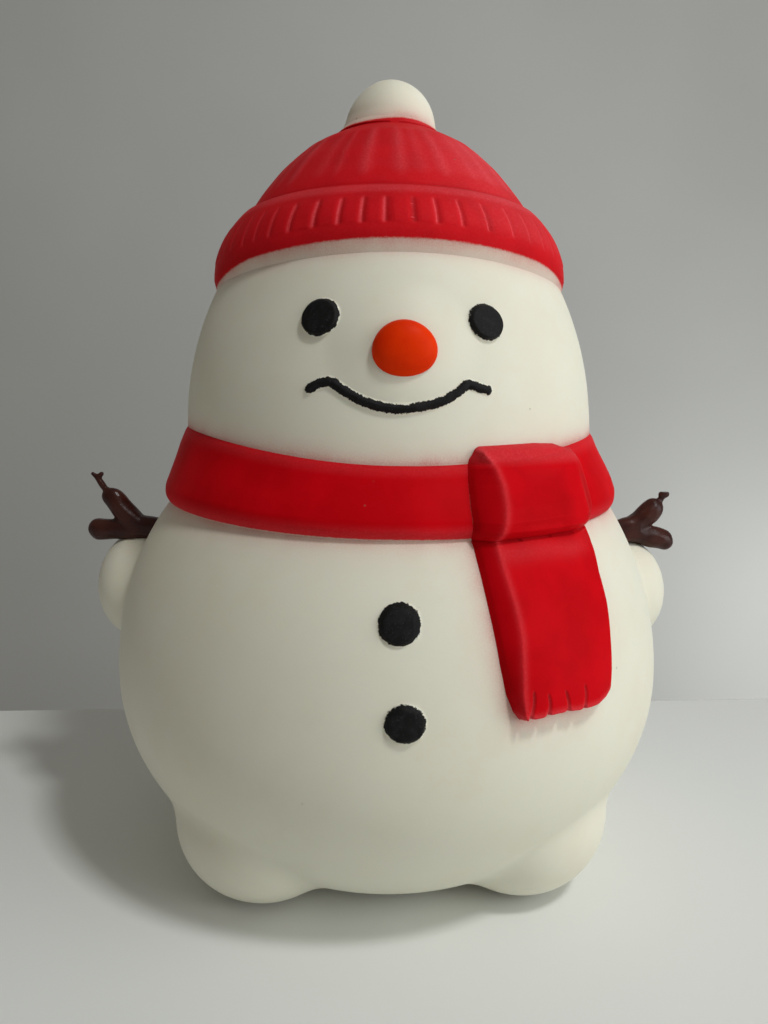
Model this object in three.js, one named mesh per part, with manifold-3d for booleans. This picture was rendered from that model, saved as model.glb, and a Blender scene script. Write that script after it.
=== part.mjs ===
// Snowman figure: a hollow soft-vinyl moulding with a plug-in nose, two plug-in twig arms and a base plug.
// Millimetres, +Z up, the figure's front faces -Y, the origin is at the middle of its underside.

import * as THREE from 'three';
import { mergeVertices } from 'three/addons/utils/BufferGeometryUtils.js';
import Module from 'manifold-3d';

const wasm = await Module();
wasm.setup();

// Driving dimensions
const HEIGHT = 280;
const WALL = 2.5;
const GAP = 0.3;
const DEGREE = Math.PI / 180;

// The belly is two half ellipses that meet at its widest ring; the lower one is cut flat by the floor.
const BELLY = { radius: 101, middle: 70, below: 82, above: 103 };
const NECK_Z = 131;
const HEAD = { radius: 74.2, middle: 155, below: 92, above: 92 };
const CHIN_Z = 157;

// The scarf is a band that flares downwards and curls back in to the shoulders.
const SCARF_BAND = [[81.4, NECK_Z], [83.2, 133], [83.2, 137], [81.2, 142], [77.8, 150], [74.8, 156],
  [73.9, CHIN_Z]];

// The hat is a rolled brim, a crown that starts in the fold above it, and a round bobble.
const BRIM_Z = 208;
const BRIM_ROLL = { radius: 63.4, middle: BRIM_Z, below: 40, above: 40 };
const FOLD_Z = 230.5;
const CROWN = [[50.4, FOLD_Z], [49.2, 233], [45.6, 237.8], [39.2, 245.4], [30.4, 253.6], [22, 258.2],
  [16.6, 259.6]];
const BOBBLE = { radius: 16.3, middle: HEIGHT - 16.3 };

// At the front the scarf dips and the brim arches up: each row is a height and its rise at the very front.
const FRONT_RISE = [[95, 0], [NECK_Z, -3.2], [CHIN_Z, -9], [176, -2.5], [190, 0], [BRIM_Z, 5], [FOLD_Z, 0.5],
  [250, 0]];
const FRONT_SHARPNESS = 2.5;

// Bumps on the sides of the belly; the left hand sits a little higher than the right one.
const FOOT = { bearing: 44.2, reach: 62.8, size: [32, 30.8, 28.8], middle: 27.2 };
const LEFT_HAND = { bearing: 93, reach: 97, size: [22, 15.3, 20], middle: 95 };
const RIGHT_HAND = { bearing: 93, reach: 97, size: [22, 15.3, 20], middle: 91.5 };

// Raised marks: a bearing from the front, a height and a size.
const EYE = { radius: 5.9, proud: 1.5 };
const EYES = [{ bearing: -20.2, z: 190.4 }, { bearing: 21, z: 189.6 }];
const BUTTON = { radius: 5.6, proud: 1.6 };
const BUTTONS = [{ bearing: -1.3, z: 107.5 }, { bearing: -0.5, z: 82 }];
const SMILE = { width: 41, middle: -1, dip: 164.4, corner: 172.8, thick: 2.5, tick: 6, proud: 1.1 };

// The hanging end of the scarf, as an outline seen from the front, and the knot at its top.
const TAIL_OUTLINE = [[19.2, 150], [19.4, 129], [22.3, 118], [25.4, 103], [27.8, 88], [31.4, 80.8],
  [42, 80.8], [54.5, 80.6], [59, 82], [61.4, 85.5], [62.6, 98], [62.2, 110], [60.8, 124], [60.4, 131], [56, 149]];
const TAIL_PROUD = 4.6;
const KNOT_OUTLINE = [[19, 147], [19.4, 130], [24, 127.8], [47, 127.8], [59.6, 131], [59.4, 140], [57, 151.8],
  [40, 154], [21.5, 153.2]];
const KNOT_PROUD = 6.4;

const NOSE = { z: 181.3, width: 18.6, height: 16.2, proud: 6.4, stem: 4, flange: 5.6 };
const ARM = { z: 118, fork: 98, thick: 4.15, stem: 3, flange: 4.2, span: 114.5 };
const LEFT_ARM = { hand: LEFT_HAND, tilt: 0, droop: 3, twiglet: 23.9 };
const RIGHT_ARM = { hand: RIGHT_HAND, tilt: 14, droop: 25, twiglet: 18.3 };
const PLUG = { radius: 20, lip: 22, recess: 0.6 };

// How many flats make a full turn
const ROUND = 48;
const INNER_ROUND = 24;

// Height change of the skin at a bearing, from the rows of FRONT_RISE
function frontRise(z, bearing) {
  const facing = Math.max(Math.cos(bearing), 0) ** FRONT_SHARPNESS;
  const above = FRONT_RISE.findIndex(([height]) => height > z);
  if (above <= 0) return 0;
  const [lowZ, lowRise] = FRONT_RISE[above - 1];
  const [highZ, highRise] = FRONT_RISE[above];
  const rise = THREE.MathUtils.lerp(lowRise, highRise, THREE.MathUtils.smoothstep(z, lowZ, highZ));
  return rise * facing;
}

// Points around an ellipse that stands on the axis, from one height to another in even turns
function ellipseArc({ radius, middle, below, above }, fromZ, toZ, steps) {
  const half = (z) => (z < middle ? below : above);
  const angleAt = (z) => Math.asin((z - middle) / half(z));
  const points = [];
  for (let step = 0; step <= steps; step += 1) {
    const angle = THREE.MathUtils.lerp(angleAt(fromZ), angleAt(toZ), step / steps);
    const rise = (angle < 0 ? below : above) * Math.sin(angle);
    points.push([radius * Math.cos(angle), middle + rise]);
  }
  return points;
}

// The same ellipse, pulled in by the wall
function shrunk({ radius, middle, below, above }) {
  return { radius: radius - WALL, middle, below: below - WALL, above: above - WALL };
}

function bobbleArc(fromZ, steps) {
  const start = Math.asin((fromZ - BOBBLE.middle) / BOBBLE.radius);
  const points = [];
  for (let step = 1; step <= steps; step += 1) {
    const angle = THREE.MathUtils.lerp(start, Math.PI / 2, step / steps);
    points.push([BOBBLE.radius * Math.cos(angle), BOBBLE.middle + BOBBLE.radius * Math.sin(angle)]);
  }
  points[steps - 1][0] = 0;
  return points;
}

function smoothed(points, count) {
  const curve = new THREE.SplineCurve(points.map(([radius, z]) => new THREE.Vector2(radius, z)));
  return curve.getPoints(count).map(({ x, y }) => [x, y]);
}

// Outer profile of the figure from the floor to the top of the bobble
function outerProfile() {
  return [
    [0, 0],
    ...ellipseArc(BELLY, 0, NECK_Z - 0.6, 11),
    ...smoothed(SCARF_BAND, 6),
    ...ellipseArc(HEAD, CHIN_Z + 1.2, BRIM_Z - 1.2, 4),
    ...ellipseArc(BRIM_ROLL, BRIM_Z, FOLD_Z - 1, 4),
    ...smoothed(CROWN, 5),
    ...bobbleArc(CROWN.at(-1)[1] + 1.6, 5),
  ];
}

// Inner profile: the same stations, pulled in by the wall
function cavityProfile() {
  const crown = CROWN.slice(1, 5).map(([radius, z]) => [radius - WALL * 1.3, z - WALL]);
  return [
    [0, WALL],
    ...ellipseArc(shrunk(BELLY), WALL, NECK_Z - 5, 7),
    ...ellipseArc(shrunk(HEAD), NECK_Z + 9, BRIM_Z - 5, 3),
    ...ellipseArc(shrunk(BRIM_ROLL), BRIM_Z + 3, FOLD_Z - 6, 1),
    ...crown,
    [10, 259.5],
    [0, 260.5],
  ];
}

// A solid turned about the Z axis, grown outwards by a margin and raised or dipped at the front
function turned(profile, margin, round) {
  const points = profile.map(([radius, z]) => new THREE.Vector2(radius > 0 ? radius + margin : 0, z));
  const geometry = new THREE.LatheGeometry(points, round).rotateX(Math.PI / 2);
  const position = geometry.attributes.position;
  for (let i = 0; i < position.count; i += 1) {
    const bearing = Math.atan2(position.getX(i), -position.getY(i));
    position.setZ(i, position.getZ(i) + frontRise(position.getZ(i), bearing));
  }
  return solid(geometry);
}

// A closed three.js geometry as a manifold solid, without its zero-area triangles
function solid(geometry) {
  geometry.deleteAttribute('normal');
  geometry.deleteAttribute('uv');
  const merged = mergeVertices(geometry.index ? geometry : geometry.clone(), 1e-3);
  const index = merged.index.array;
  const triangles = [];
  for (let i = 0; i < index.length; i += 3) {
    const [a, b, c] = index.slice(i, i + 3);
    if (a !== b && b !== c && c !== a) triangles.push(a, b, c);
  }
  return new wasm.Manifold(new wasm.Mesh({
    numProp: 3,
    vertProperties: new Float32Array(merged.attributes.position.array),
    triVerts: new Uint32Array(triangles),
  }));
}

function joined(parts) {
  return parts.reduce((whole, part) => whole.add(part));
}

function mesh(name, body, material) {
  const { vertProperties, triVerts } = body.getMesh();
  const geometry = new THREE.BufferGeometry();
  geometry.setAttribute('position', new THREE.BufferAttribute(new Float32Array(vertProperties), 3));
  geometry.setIndex(new THREE.BufferAttribute(new Uint32Array(triVerts), 1));
  geometry.computeVertexNormals();
  const result = new THREE.Mesh(geometry, material);
  result.name = name;
  return result;
}

// A round bar standing on Z, from one height to another
function bar(radius, fromZ, toZ, round = 20) {
  const geometry = new THREE.CylinderGeometry(radius, radius, toZ - fromZ, round);
  return geometry.rotateX(Math.PI / 2).translate(0, 0, (fromZ + toZ) / 2);
}

// An ellipsoid bump on the side of the body: size is across, outwards and up
function bump({ bearing, reach, size, middle }, side, shrink = 0) {
  const [across, outwards, up] = size;
  const geometry = new THREE.SphereGeometry(1, 16, 10);
  geometry.rotateX(Math.PI / 2);
  geometry.scale(across - shrink, outwards - shrink, up - shrink);
  geometry.translate(0, -reach, middle);
  geometry.rotateZ(side * bearing * DEGREE);
  return solid(geometry);
}

// A prism in front of the figure, from an outline of [x, z] points
function frontPrism(points) {
  const shape = new THREE.Shape(points.map(([x, z]) => new THREE.Vector2(x, z)));
  const geometry = new THREE.ExtrudeGeometry(shape, { depth: 160, bevelEnabled: false, steps: 1 });
  return solid(geometry.rotateX(Math.PI / 2));
}

// What an outline raises out of the skin
function raised(outline, proud) {
  return frontPrism(outline).intersect(turned(outerProfile(), proud, ROUND));
}

function disc({ bearing, z }, { radius, proud }, skinRadius) {
  const centre = Math.sin(bearing * DEGREE) * skinRadius;
  const across = radius * Math.cos(bearing * DEGREE);
  const outline = [];
  for (let step = 0; step < 14; step += 1) {
    const angle = (step / 14) * 2 * Math.PI;
    outline.push([centre + across * Math.cos(angle), z + radius * Math.sin(angle)]);
  }
  return raised(outline, proud);
}

// The smile: a curved ridge with a short tick turned down at each corner
function smile() {
  const { width, middle, dip, corner, thick, tick, proud } = SMILE;
  const half = width / 2;
  const curve = new THREE.CatmullRomCurve3([
    new THREE.Vector3(middle - half - tick * 0.75, 0, corner - tick * 0.6),
    new THREE.Vector3(middle - half, 0, corner),
    new THREE.Vector3(middle - half * 0.55, 0, THREE.MathUtils.lerp(dip, corner, 0.36)),
    new THREE.Vector3(middle, 0, dip),
    new THREE.Vector3(middle + half * 0.55, 0, THREE.MathUtils.lerp(dip, corner, 0.36)),
    new THREE.Vector3(middle + half, 0, corner),
    new THREE.Vector3(middle + half + tick * 0.75, 0, corner - tick * 0.6),
  ]);
  const points = curve.getPoints(14);
  const lower = points.map(({ x, z }) => [x, z - thick / 2]);
  const upper = points.map(({ x, z }) => [x, z + thick / 2]).reverse();
  return raised([...lower, ...upper], proud);
}

// The hollow moulding with everything that is moulded in one with it
function bodyShell(material) {
  const outside = joined([
    turned(outerProfile(), 0, ROUND),
    bump(FOOT, -1),
    bump(FOOT, 1),
    bump(LEFT_HAND, -1),
    bump(RIGHT_HAND, 1),
    raised(TAIL_OUTLINE, TAIL_PROUD),
    raised(KNOT_OUTLINE, KNOT_PROUD),
    ...EYES.map((place) => disc(place, EYE, 68.5)),
    disc(BUTTONS[0], BUTTON, 93.7),
    disc(BUTTONS[1], BUTTON, 100.4),
    smile(),
  ]);
  const inside = joined([
    turned(cavityProfile(), 0, INNER_ROUND),
    bump(FOOT, -1, WALL),
    bump(FOOT, 1, WALL),
    bump(LEFT_HAND, -1, WALL),
    bump(RIGHT_HAND, 1, WALL),
  ]);
  const underFloor = solid(new THREE.BoxGeometry(300, 300, 40).translate(0, 0, -20));
  const insideFloor = solid(new THREE.BoxGeometry(300, 300, 40).translate(0, 0, WALL - 20));
  const noseHole = solid(bar(NOSE.stem + GAP, 40, 100).rotateX(Math.PI / 2).translate(0, 0, NOSE.z));
  const armHoles = solid(bar(ARM.stem + GAP, -130, 130, 12).rotateY(Math.PI / 2).translate(0, 0, ARM.z));
  const plugHole = solid(bar(PLUG.radius, -1, WALL + 1));
  const shell = outside
    .subtract(underFloor)
    .subtract(inside.subtract(insideFloor))
    .subtract(noseHole)
    .subtract(armHoles)
    .subtract(plugHole);
  return mesh('body_shell', shell, material);
}

// The nose: an oval dome with a stem and a snap flange behind the wall
function nose(material) {
  const { z, width, height, proud, stem, flange } = NOSE;
  const skin = HEAD.radius * Math.sqrt(1 - ((z - HEAD.middle) / HEAD.above) ** 2);
  const dome = new THREE.SphereGeometry(1, 16, 9).scale(width / 2, proud + 2, height / 2);
  const face = solid(dome.translate(0, -skin + 2, z)).subtract(turned(outerProfile(), GAP, ROUND));
  const inner = skin - WALL;
  const pin = solid(bar(stem, inner - 6, skin + 3).rotateX(Math.PI / 2).translate(0, 0, z));
  const snap = solid(bar(flange, inner - 5, inner - 2.2).rotateX(Math.PI / 2).translate(0, 0, z));
  return mesh('nose', joined([face, pin, snap]), material);
}

// A bar with round ends between two points of the arm's own plane, given as [outwards, up]
function twig([fromU, fromZ], [toU, toZ], radius) {
  const from = new THREE.Vector3(fromU, 0, fromZ);
  const to = new THREE.Vector3(toU, 0, toZ);
  const along = to.clone().sub(from);
  const geometry = new THREE.CapsuleGeometry(radius, along.length(), 3, 8);
  const upright = new THREE.Vector3(0, 1, 0);
  geometry.applyQuaternion(new THREE.Quaternion().setFromUnitVectors(upright, along.clone().normalize()));
  const centre = from.add(to).multiplyScalar(0.5);
  return solid(geometry.translate(centre.x, 0, centre.z));
}

// A forked twig arm with a stem through the side wall; the upper branch tilts outwards, the lower one droops
function twigArm(name, side, { hand, tilt, droop, twiglet }, material) {
  const { z, thick, stem, flange, span } = ARM;
  const skin = BELLY.radius * Math.sqrt(1 - ((z - BELLY.middle) / BELLY.above) ** 2);
  const fork = new THREE.Vector2(ARM.fork, z);
  const tip = (length, degrees) => {
    const angle = (degrees - tilt) * DEGREE;
    return [fork.x + length * Math.cos(angle), fork.y + length * Math.sin(angle)];
  };
  const end = [span - thick, fork.y - (span - thick - fork.x) * Math.tan(droop * DEGREE)];
  const branches = joined([
    twig([skin + thick + 0.6, z], [fork.x, fork.y], thick),
    twig([fork.x, fork.y], end, thick),
    twig([fork.x, fork.y], tip(12.9, 57), thick),
    twig(tip(14.5, 57), tip(twiglet, 56), 1.3),
  ]);
  const trimmed = branches.subtract(turned(outerProfile(), GAP, ROUND)).subtract(bump(hand, 1, -GAP));
  const inner = skin - WALL;
  const pin = solid(bar(stem, inner - 8, skin + 6, 12).rotateY(Math.PI / 2).translate(0, 0, z));
  const snap = solid(bar(flange, inner - 7.2, inner - 4.2, 12).rotateY(Math.PI / 2).translate(0, 0, z));
  const arm = joined([trimmed, pin, snap]);
  return mesh(name, side > 0 ? arm : arm.mirror([1, 0, 0]), material);
}

// The plug that closes the pouring hole in the underside
function basePlug(material) {
  const { radius, lip, recess } = PLUG;
  const stopper = solid(bar(radius - GAP, recess, WALL + 3));
  const flange = solid(bar(lip, WALL + GAP, WALL + 1.8));
  return mesh('base_plug', joined([stopper, flange]), material);
}

function plastic(color, roughness) {
  return new THREE.MeshStandardMaterial({ color, roughness, metalness: 0 });
}

const snowman = new THREE.Group();
snowman.add(bodyShell(plastic(0xe6e3d4, 0.5)));
snowman.add(nose(plastic(0xe8540c, 0.45)));
snowman.add(twigArm('left_twig_arm', -1, LEFT_ARM, plastic(0x341a19, 0.4)));
snowman.add(twigArm('right_twig_arm', 1, RIGHT_ARM, plastic(0x341a19, 0.4)));
snowman.add(basePlug(plastic(0xd8d5c6, 0.55)));

export default snowman;
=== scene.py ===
"""The finished look of a soft-vinyl snowman figure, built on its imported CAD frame.

Lengths in the classes below are millimetres and angles are degrees. A bearing is measured from the figure's
front (-Y) towards its left hand side (+X). Meshes are written in metres, in the frame of the CAD model.
"""

import logging
import math
from collections.abc import Sequence
from dataclasses import dataclass, field
from enum import Enum

import bmesh
import bpy
import numpy as np
from mathutils import Matrix, Vector


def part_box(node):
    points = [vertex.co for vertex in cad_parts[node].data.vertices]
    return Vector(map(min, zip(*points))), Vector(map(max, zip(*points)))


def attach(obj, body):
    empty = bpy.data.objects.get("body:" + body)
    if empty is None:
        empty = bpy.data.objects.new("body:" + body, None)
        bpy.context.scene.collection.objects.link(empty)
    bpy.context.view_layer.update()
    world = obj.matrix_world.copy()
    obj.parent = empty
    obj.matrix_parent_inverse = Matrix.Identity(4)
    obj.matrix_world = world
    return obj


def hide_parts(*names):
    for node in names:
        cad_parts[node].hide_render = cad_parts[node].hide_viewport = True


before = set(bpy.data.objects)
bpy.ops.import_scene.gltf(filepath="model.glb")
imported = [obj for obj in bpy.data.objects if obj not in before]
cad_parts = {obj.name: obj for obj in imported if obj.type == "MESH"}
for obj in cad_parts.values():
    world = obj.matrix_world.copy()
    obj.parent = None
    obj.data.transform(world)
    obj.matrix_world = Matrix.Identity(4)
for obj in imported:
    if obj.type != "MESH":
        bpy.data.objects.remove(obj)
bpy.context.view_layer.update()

log = logging.getLogger("snowman")

MM = 0.001
Array = np.ndarray
Colour = tuple[float, float, float]
Outline = list[tuple[float, float]]


class Slot(Enum):
    """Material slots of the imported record."""

    WHITE = "white_vinyl"
    ORANGE = "orange_vinyl"
    BROWN = "brown_vinyl"
    PLUG = "plug_vinyl"


class Side(Enum):
    """The two sides of the figure, as signs on X."""

    LEFT = -1
    RIGHT = 1


# ---------------------------------------------------------------- small maths


def smoothstep(low: float, high: float, value: Array) -> Array:
    """Goes softly from 0 at low to 1 at high."""
    t = np.clip((value - low) / (high - low), 0.0, 1.0)
    return t * t * (3.0 - 2.0 * t)


def smooth_union(first: Array, second: Array, reach: float) -> Array:
    """Joins two distance fields with a fillet.

    Args:
        first: Distance to the first form.
        second: Distance to the second form.
        reach: How far from the join the fillet starts.

    Returns:
        The distance to the joined form.
    """
    h = np.clip(0.5 + 0.5 * (second - first) / reach, 0.0, 1.0)
    return second + (first - second) * h - reach * h * (1.0 - h)


def turn_apart(bearing: Array, centre: float) -> Array:
    """The turn from a centre bearing, between -180 and 180."""
    return (bearing - centre + 180.0) % 360.0 - 180.0


def path_distance(x: Array, y: Array, path: Sequence[tuple[float, float]]) -> Array:
    """The distance from each point to an open path.

    Args:
        x: First coordinates.
        y: Second coordinates.
        path: Corners of the path.

    Returns:
        The shortest distance to any stretch of the path.
    """
    best = np.full_like(x, 1e9)
    for (ax, ay), (bx, by) in zip(path[:-1], path[1:]):
        dx, dy = bx - ax, by - ay
        t = np.clip(((x - ax) * dx + (y - ay) * dy) / (dx * dx + dy * dy), 0.0, 1.0)
        best = np.minimum(best, np.hypot(x - ax - t * dx, y - ay - t * dy))
    return best


def ripple(bearing: Array, z: Array, seed: int, scale: float) -> Array:
    """Soft hand-made unevenness, between about -1 and 1.

    Args:
        bearing: Bearings in degrees.
        z: Heights in millimetres.
        seed: Chooses the pattern.
        scale: Length of the longest waves in millimetres.

    Returns:
        The height of the waves.
    """
    rng = np.random.default_rng(seed)
    total = np.zeros_like(z)
    for _ in range(7):
        turns = rng.integers(1, 6)
        phase, slope = rng.uniform(0.0, 2.0 * math.pi, 2)
        total += np.sin(np.radians(bearing) * turns + phase + np.sin(z / scale + slope) * 1.3)
    return total / 4.0


# ---------------------------------------------------------------- shader tools


class Recipe:
    """A node tree while it is being put together."""

    def __init__(self, tree: bpy.types.NodeTree) -> None:
        """Starts with an empty tree."""
        self.tree = tree
        self.tree.nodes.clear()

    def node(self, kind: str, inputs: dict | None = None, **settings: object) -> bpy.types.Node:
        """Adds a node.

        Args:
            kind: The node's type without its ShaderNode prefix.
            inputs: Values or sockets for its inputs, by name or number.
            **settings: Properties of the node.

        Returns:
            The new node.
        """
        made = self.tree.nodes.new("ShaderNode" + kind)
        for key, value in settings.items():
            setattr(made, key, value)
        for key, value in (inputs or {}).items():
            if isinstance(value, bpy.types.NodeSocket):
                self.tree.links.new(value, made.inputs[key])
            else:
                made.inputs[key].default_value = value
        return made

    def place(self) -> bpy.types.NodeSocket:
        """The point on the piece, in metres."""
        return self.node("TexCoord").outputs["Object"]

    def number(self, name: str) -> bpy.types.NodeSocket:
        """A number kept on the mesh's points."""
        return self.node("Attribute", attribute_name=name).outputs["Fac"]

    def noise(self, place: bpy.types.NodeSocket, scale: float, detail: float = 2.0) -> bpy.types.NodeSocket:
        """Soft noise between 0 and 1, with scale waves in a metre."""
        return self.node("TexNoise", {"Vector": place, "Scale": scale, "Detail": detail}).outputs["Fac"]

    def ramp(self, value: object, low: float, high: float, out: tuple[float, float] = (0.0, 1.0),
             soft: bool = True) -> bpy.types.NodeSocket:
        """Maps a number from one span to another, softly or straight."""
        kind = "SMOOTHSTEP" if soft else "LINEAR"
        inputs = {"Value": value, "From Min": low, "From Max": high, "To Min": out[0], "To Max": out[1]}
        return self.node("MapRange", inputs, interpolation_type=kind).outputs["Result"]

    def math(self, operation: str, first: object, second: object = 0.0) -> bpy.types.NodeSocket:
        """One sum on one or two numbers."""
        return self.node("Math", {0: first, 1: second}, operation=operation).outputs["Value"]

    def mix(self, first: object, second: object, share: object) -> bpy.types.NodeSocket:
        """Mixes two colours."""
        colours = [(*c, 1.0) if isinstance(c, tuple) else c for c in (first, second)]
        inputs = {"Factor": share, 6: colours[0], 7: colours[1]}
        return self.node("Mix", inputs, data_type="RGBA").outputs[2]

    def blend(self, first: object, second: object, share: object) -> bpy.types.NodeSocket:
        """Mixes two numbers."""
        return self.node("Mix", {"Factor": share, 2: first, 3: second}, data_type="FLOAT").outputs[0]


class Effect(Enum):
    """Surface effects that several finishes share."""

    RAGGED_EDGE = "ragged paint edge"
    OVERSPRAY = "overspray speckle"
    HANDLING = "handling marks"
    GRAIN = "cast grain"


class EffectLibrary:
    """Builds each shared effect once and places it in materials."""

    def __init__(self) -> None:
        """Starts with nothing built."""
        self.groups: dict[Effect, bpy.types.NodeTree] = {}

    def use(self, recipe: Recipe, effect: Effect, inputs: dict) -> bpy.types.Node:
        """Places an effect in a material.

        Args:
            recipe: The material's recipe.
            effect: Which effect.
            inputs: Values or sockets for its inputs.

        Returns:
            The group node.
        """
        if effect not in self.groups:
            self.groups[effect] = self._build(effect)
        made = recipe.node("Group", node_tree=self.groups[effect])
        for key, value in inputs.items():
            if isinstance(value, bpy.types.NodeSocket):
                recipe.tree.links.new(value, made.inputs[key])
            else:
                made.inputs[key].default_value = value
        return made

    def _build(self, effect: Effect) -> bpy.types.NodeTree:
        """Makes the group of one effect."""
        tree = bpy.data.node_groups.new(effect.value, "ShaderNodeTree")
        recipe = Recipe(tree)
        makers = {
            Effect.RAGGED_EDGE: self._ragged_edge,
            Effect.OVERSPRAY: self._overspray,
            Effect.HANDLING: self._handling,
            Effect.GRAIN: self._grain,
        }
        makers[effect](recipe)
        return tree

    @staticmethod
    def _sockets(recipe: Recipe, inputs: dict[str, float | None], outputs: Sequence[str]) -> tuple:
        """Gives a group its inputs, where None is a vector, and its outputs."""
        face = recipe.tree.interface
        for name, value in inputs.items():
            kind = "NodeSocketVector" if value is None else "NodeSocketFloat"
            socket = face.new_socket(name=name, in_out="INPUT", socket_type=kind)
            if value is not None:
                socket.default_value = value
        for name in outputs:
            face.new_socket(name=name, in_out="OUTPUT", socket_type="NodeSocketFloat")
        source = recipe.tree.nodes.new("NodeGroupInput")
        sink = recipe.tree.nodes.new("NodeGroupOutput")
        return source.outputs, sink.inputs

    def _ragged_edge(self, recipe: Recipe) -> None:
        """A mask that is 1 inside a painted field and breaks up at its edge."""
        given, wanted = self._sockets(
            recipe, {"Place": None, "Distance": 0.0, "Ragged": 0.4, "Soft": 0.2, "Scale": 900.0}, ["Mask"])
        coarse = recipe.node("TexNoise", {"Vector": given["Place"], "Scale": given["Scale"], "Detail": 3.0})
        fine_scale = recipe.math("MULTIPLY", given["Scale"], 3.1)
        fine = recipe.node("TexNoise", {"Vector": given["Place"], "Scale": fine_scale, "Detail": 1.0})
        both = recipe.blend(coarse.outputs["Fac"], fine.outputs["Fac"], 0.4)
        swing = recipe.math("MULTIPLY", recipe.math("SUBTRACT", both, 0.5), given["Ragged"])
        edge = recipe.math("ADD", given["Distance"], recipe.math("MULTIPLY", swing, 4.0))
        low = recipe.math("MULTIPLY", given["Soft"], -1.0)
        inputs = {"Value": edge, "From Min": low, "From Max": given["Soft"]}
        mask = recipe.node("MapRange", inputs, interpolation_type="SMOOTHSTEP").outputs["Result"]
        recipe.tree.links.new(mask, wanted["Mask"])

    def _overspray(self, recipe: Recipe) -> None:
        """A haze of fine stray paint that thins out with the distance from a sprayed field."""
        given, wanted = self._sockets(
            recipe, {"Place": None, "Distance": 0.0, "Reach": 3.0, "Strength": 1.0}, ["Mask"])
        share = recipe.math("DIVIDE", given["Distance"], given["Reach"])
        fade = recipe.math("POWER", 2.718, recipe.math("MULTIPLY", share, -1.0))
        dots = recipe.ramp(recipe.noise(given["Place"], 2600.0, 1.0), 0.36, 0.64, (0.72, 1.0))
        cloud = recipe.ramp(recipe.noise(given["Place"], 110.0, 1.0), 0.3, 0.7, (0.7, 1.0))
        amount = recipe.math("MULTIPLY", recipe.math("MINIMUM", fade, 1.0),
                             recipe.math("MULTIPLY", dots, cloud))
        recipe.tree.links.new(recipe.math("MULTIPLY", amount, given["Strength"]), wanted["Mask"])

    def _handling(self, recipe: Recipe) -> None:
        """Smudges and a few dark specks from years of handling."""
        given, wanted = self._sockets(recipe, {"Place": None, "Amount": 1.0}, ["Smudge", "Specks"])
        wide = recipe.ramp(recipe.noise(given["Place"], 22.0, 4.0), 0.48, 0.72)
        close = recipe.ramp(recipe.noise(given["Place"], 95.0, 3.0), 0.45, 0.75)
        smudge = recipe.math("MULTIPLY", recipe.blend(wide, close, 0.35), given["Amount"])
        dust = recipe.node("TexVoronoi", {"Vector": given["Place"], "Scale": 95.0, "Randomness": 1.0})
        dot = recipe.ramp(dust.outputs["Distance"], 0.055, 0.025)
        rare = recipe.ramp(recipe.noise(given["Place"], 60.0, 1.0), 0.60, 0.68)
        specks = recipe.math("MULTIPLY", recipe.math("MULTIPLY", dot, rare), given["Amount"])
        recipe.tree.links.new(smudge, wanted["Smudge"])
        recipe.tree.links.new(specks, wanted["Specks"])

    def _grain(self, recipe: Recipe) -> None:
        """The fine uneven skin that a cast moulding keeps."""
        given, wanted = self._sockets(recipe, {"Place": None, "Coarse": 0.5}, ["Height"])
        fine = recipe.noise(given["Place"], 1500.0, 2.0)
        broad = recipe.noise(given["Place"], 130.0, 3.0)
        recipe.tree.links.new(recipe.blend(fine, broad, given["Coarse"]), wanted["Height"])


EFFECTS = EffectLibrary()


# ---------------------------------------------------------------- finishes


def new_material(name: str) -> tuple[bpy.types.Material, Recipe]:
    """An empty node material and its recipe."""
    material = bpy.data.materials.new(name)
    material.use_nodes = True
    return material, Recipe(material.node_tree)


def close_material(recipe: Recipe, inputs: dict) -> None:
    """Ends a recipe with a Principled shader."""
    shader = recipe.node("BsdfPrincipled", inputs)
    recipe.node("OutputMaterial", {"Surface": shader.outputs["BSDF"]})


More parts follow.
